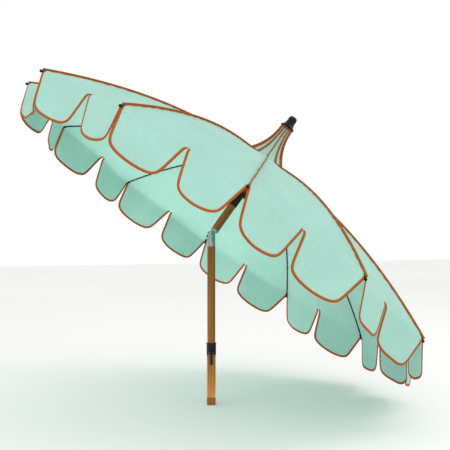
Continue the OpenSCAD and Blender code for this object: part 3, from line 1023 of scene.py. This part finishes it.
class UMBRELLA_OT_fittings(bpy.types.Operator):
    """Finishes for the frame's metal and moulded parts"""
    bl_idname = "umbrella.fittings"
    bl_label = "Fittings"

    def execute(self, context):
        for node in ("tilt_socket", "tilt_tongue", "tilt_pin"):
            finish_node(node, chrome(), 0.0006)
        for node in ("pole_plug", "pole_glide", "tilt_button", "runner", "crown", "spire_collar"):
            finish_node(node, nylon(), 0.0005)
        for node in ("clamp_pin", "button_spring", "ferrule_rivet", "runner_button", "crown_pins",
                     "finial_stud"):
            finish_node(node, zinc(), 0.0002)
        for k in range(RIBS):
            finish_node(rib_name(k), enamel(), 0.0003)
            finish_node(f"strut_{k + 1:02d}", enamel(), 0.0003)
        return {"FINISHED"}


# Camera, floor and light

class UMBRELLA_OT_stage(bpy.types.Operator):
    """Camera, a wide pale floor, and soft light"""
    bl_idname = "umbrella.stage"
    bl_label = "Stage"

    def execute(self, context):
        s = context.scene.umbrella_stage
        turn = math.radians(s.turn)
        right = Vector((math.cos(turn), math.sin(turn), 0))
        ahead = Vector((-math.sin(turn), math.cos(turn), 0))
        camera = bpy.data.objects.new("Camera", bpy.data.cameras.new("Camera"))
        context.scene.collection.objects.link(camera)
        camera.data.lens = s.lens
        camera.data.sensor_width = 36.0
        camera.location = right * s.sideways - ahead * s.distance + Vector((0, 0, s.height))
        look = ahead * math.cos(math.radians(s.pitch)) + Vector((0, 0, math.sin(math.radians(s.pitch))))
        camera.rotation_euler = look.to_track_quat("-Z", "Y").to_euler()
        context.scene.camera = camera

        surface, tree, shader = material("Matt white paint", Roughness=0.9, Specular_IOR_Level=0.1)
        place = object_place(tree)
        cloud = noise(tree, place, 0.7, 2.0)
        tree.links.new(ramp(tree, cloud, [(0.3, "#f1f1ef"), (0.7, s.floor)]), shader.inputs["Base Color"])
        y = np.linspace(-9, 9, 40)[:, None]
        x = np.linspace(-9, 9, 40)[None, :]
        points = np.stack([x + 0 * y, y + 0 * x, 0 * x * y], -1).reshape(-1, 3)
        floor = make_piece("floor", points, grid_quads(40, 40), surface)

        world = bpy.data.worlds.new("Studio")
        world.use_nodes = True
        world.node_tree.nodes["Background"].inputs["Color"].default_value = (1, 1, 1, 1)
        world.node_tree.nodes["Background"].inputs["Strength"].default_value = 1.0
        context.scene.world = world
        context.scene.view_settings.view_transform = "Standard"
        lamps = (("Key", (-2.2, -2.6, 3.0), 2.5, 22), ("Rim", (3.2, 0.6, 2.8), 2.0, 24),
                 ("Fill", (0.5, -3.0, 0.4), 2.5, 14), ("Bounce", (-0.6, 0.35, 0.03), 1.3, 8))
        for name, offset, size, power in lamps:             # metres right, ahead and up; watts
            lamp = bpy.data.lights.new(name, "AREA")
            lamp.size, lamp.energy = size, power
            light = bpy.data.objects.new(name, lamp)
            context.scene.collection.objects.link(light)
            light.location = right * offset[0] + ahead * offset[1] + Vector((0, 0, offset[2]))
            aim = Vector(HINGE) + Vector((0, 0, 0.1)) - light.location
            if name == "Bounce":                            # lights the canvas from below
                aim = Vector((0, 0, 1))
            light.rotation_euler = aim.to_track_quat("-Z", "Y").to_euler()
            light.visible_camera = False
        return {"FINISHED"}


class UMBRELLA_PT_panel(bpy.types.Panel):
    """Lists the sizes and the steps"""
    bl_label = "Beach Umbrella"
    bl_idname = "UMBRELLA_PT_panel"
    bl_space_type = "VIEW_3D"
    bl_region_type = "UI"
    bl_category = "Umbrella"

    def draw(self, context):
        for title, group in (("Canvas", "umbrella_canvas"), ("Trim", "umbrella_trim"),
                             ("Pole", "umbrella_pole"), ("Stage", "umbrella_stage")):
            box = self.layout.box()
            box.label(text=title)
            settings = getattr(context.scene, group)
            for name in settings.__annotations__:
                box.prop(settings, name)
        for step in STEPS:
            self.layout.operator(step.bl_idname)


GROUPS = {"umbrella_canvas": UMBRELLA_PG_canvas, "umbrella_trim": UMBRELLA_PG_trim,
          "umbrella_pole": UMBRELLA_PG_pole, "umbrella_stage": UMBRELLA_PG_stage}
STEPS = (UMBRELLA_OT_stage, UMBRELLA_OT_canvas, UMBRELLA_OT_spire, UMBRELLA_OT_bindings, UMBRELLA_OT_seams,
         UMBRELLA_OT_rib_tips, UMBRELLA_OT_poles, UMBRELLA_OT_clamp, UMBRELLA_OT_finial, UMBRELLA_OT_fittings)


def register():
    for group in GROUPS.values():
        bpy.utils.register_class(group)
    for name, group in GROUPS.items():
        setattr(bpy.types.Scene, name, bpy.props.PointerProperty(type=group))
    for step in STEPS:
        bpy.utils.register_class(step)
    bpy.utils.register_class(UMBRELLA_PT_panel)


def unregister():
    bpy.utils.unregister_class(UMBRELLA_PT_panel)
    for step in reversed(STEPS):
        bpy.utils.unregister_class(step)
    for name, group in GROUPS.items():
        delattr(bpy.types.Scene, name)
        bpy.utils.unregister_class(group)


def main():
    register()
    bpy.ops.umbrella.stage()
    bpy.ops.umbrella.canvas()
    bpy.ops.umbrella.spire()
    bpy.ops.umbrella.bindings()
    bpy.ops.umbrella.seams()
    bpy.ops.umbrella.rib_tips()
    bpy.ops.umbrella.poles()
    bpy.ops.umbrella.clamp()
    bpy.ops.umbrella.finial()
    bpy.ops.umbrella.fittings()


if __name__ == "__main__":
    main()
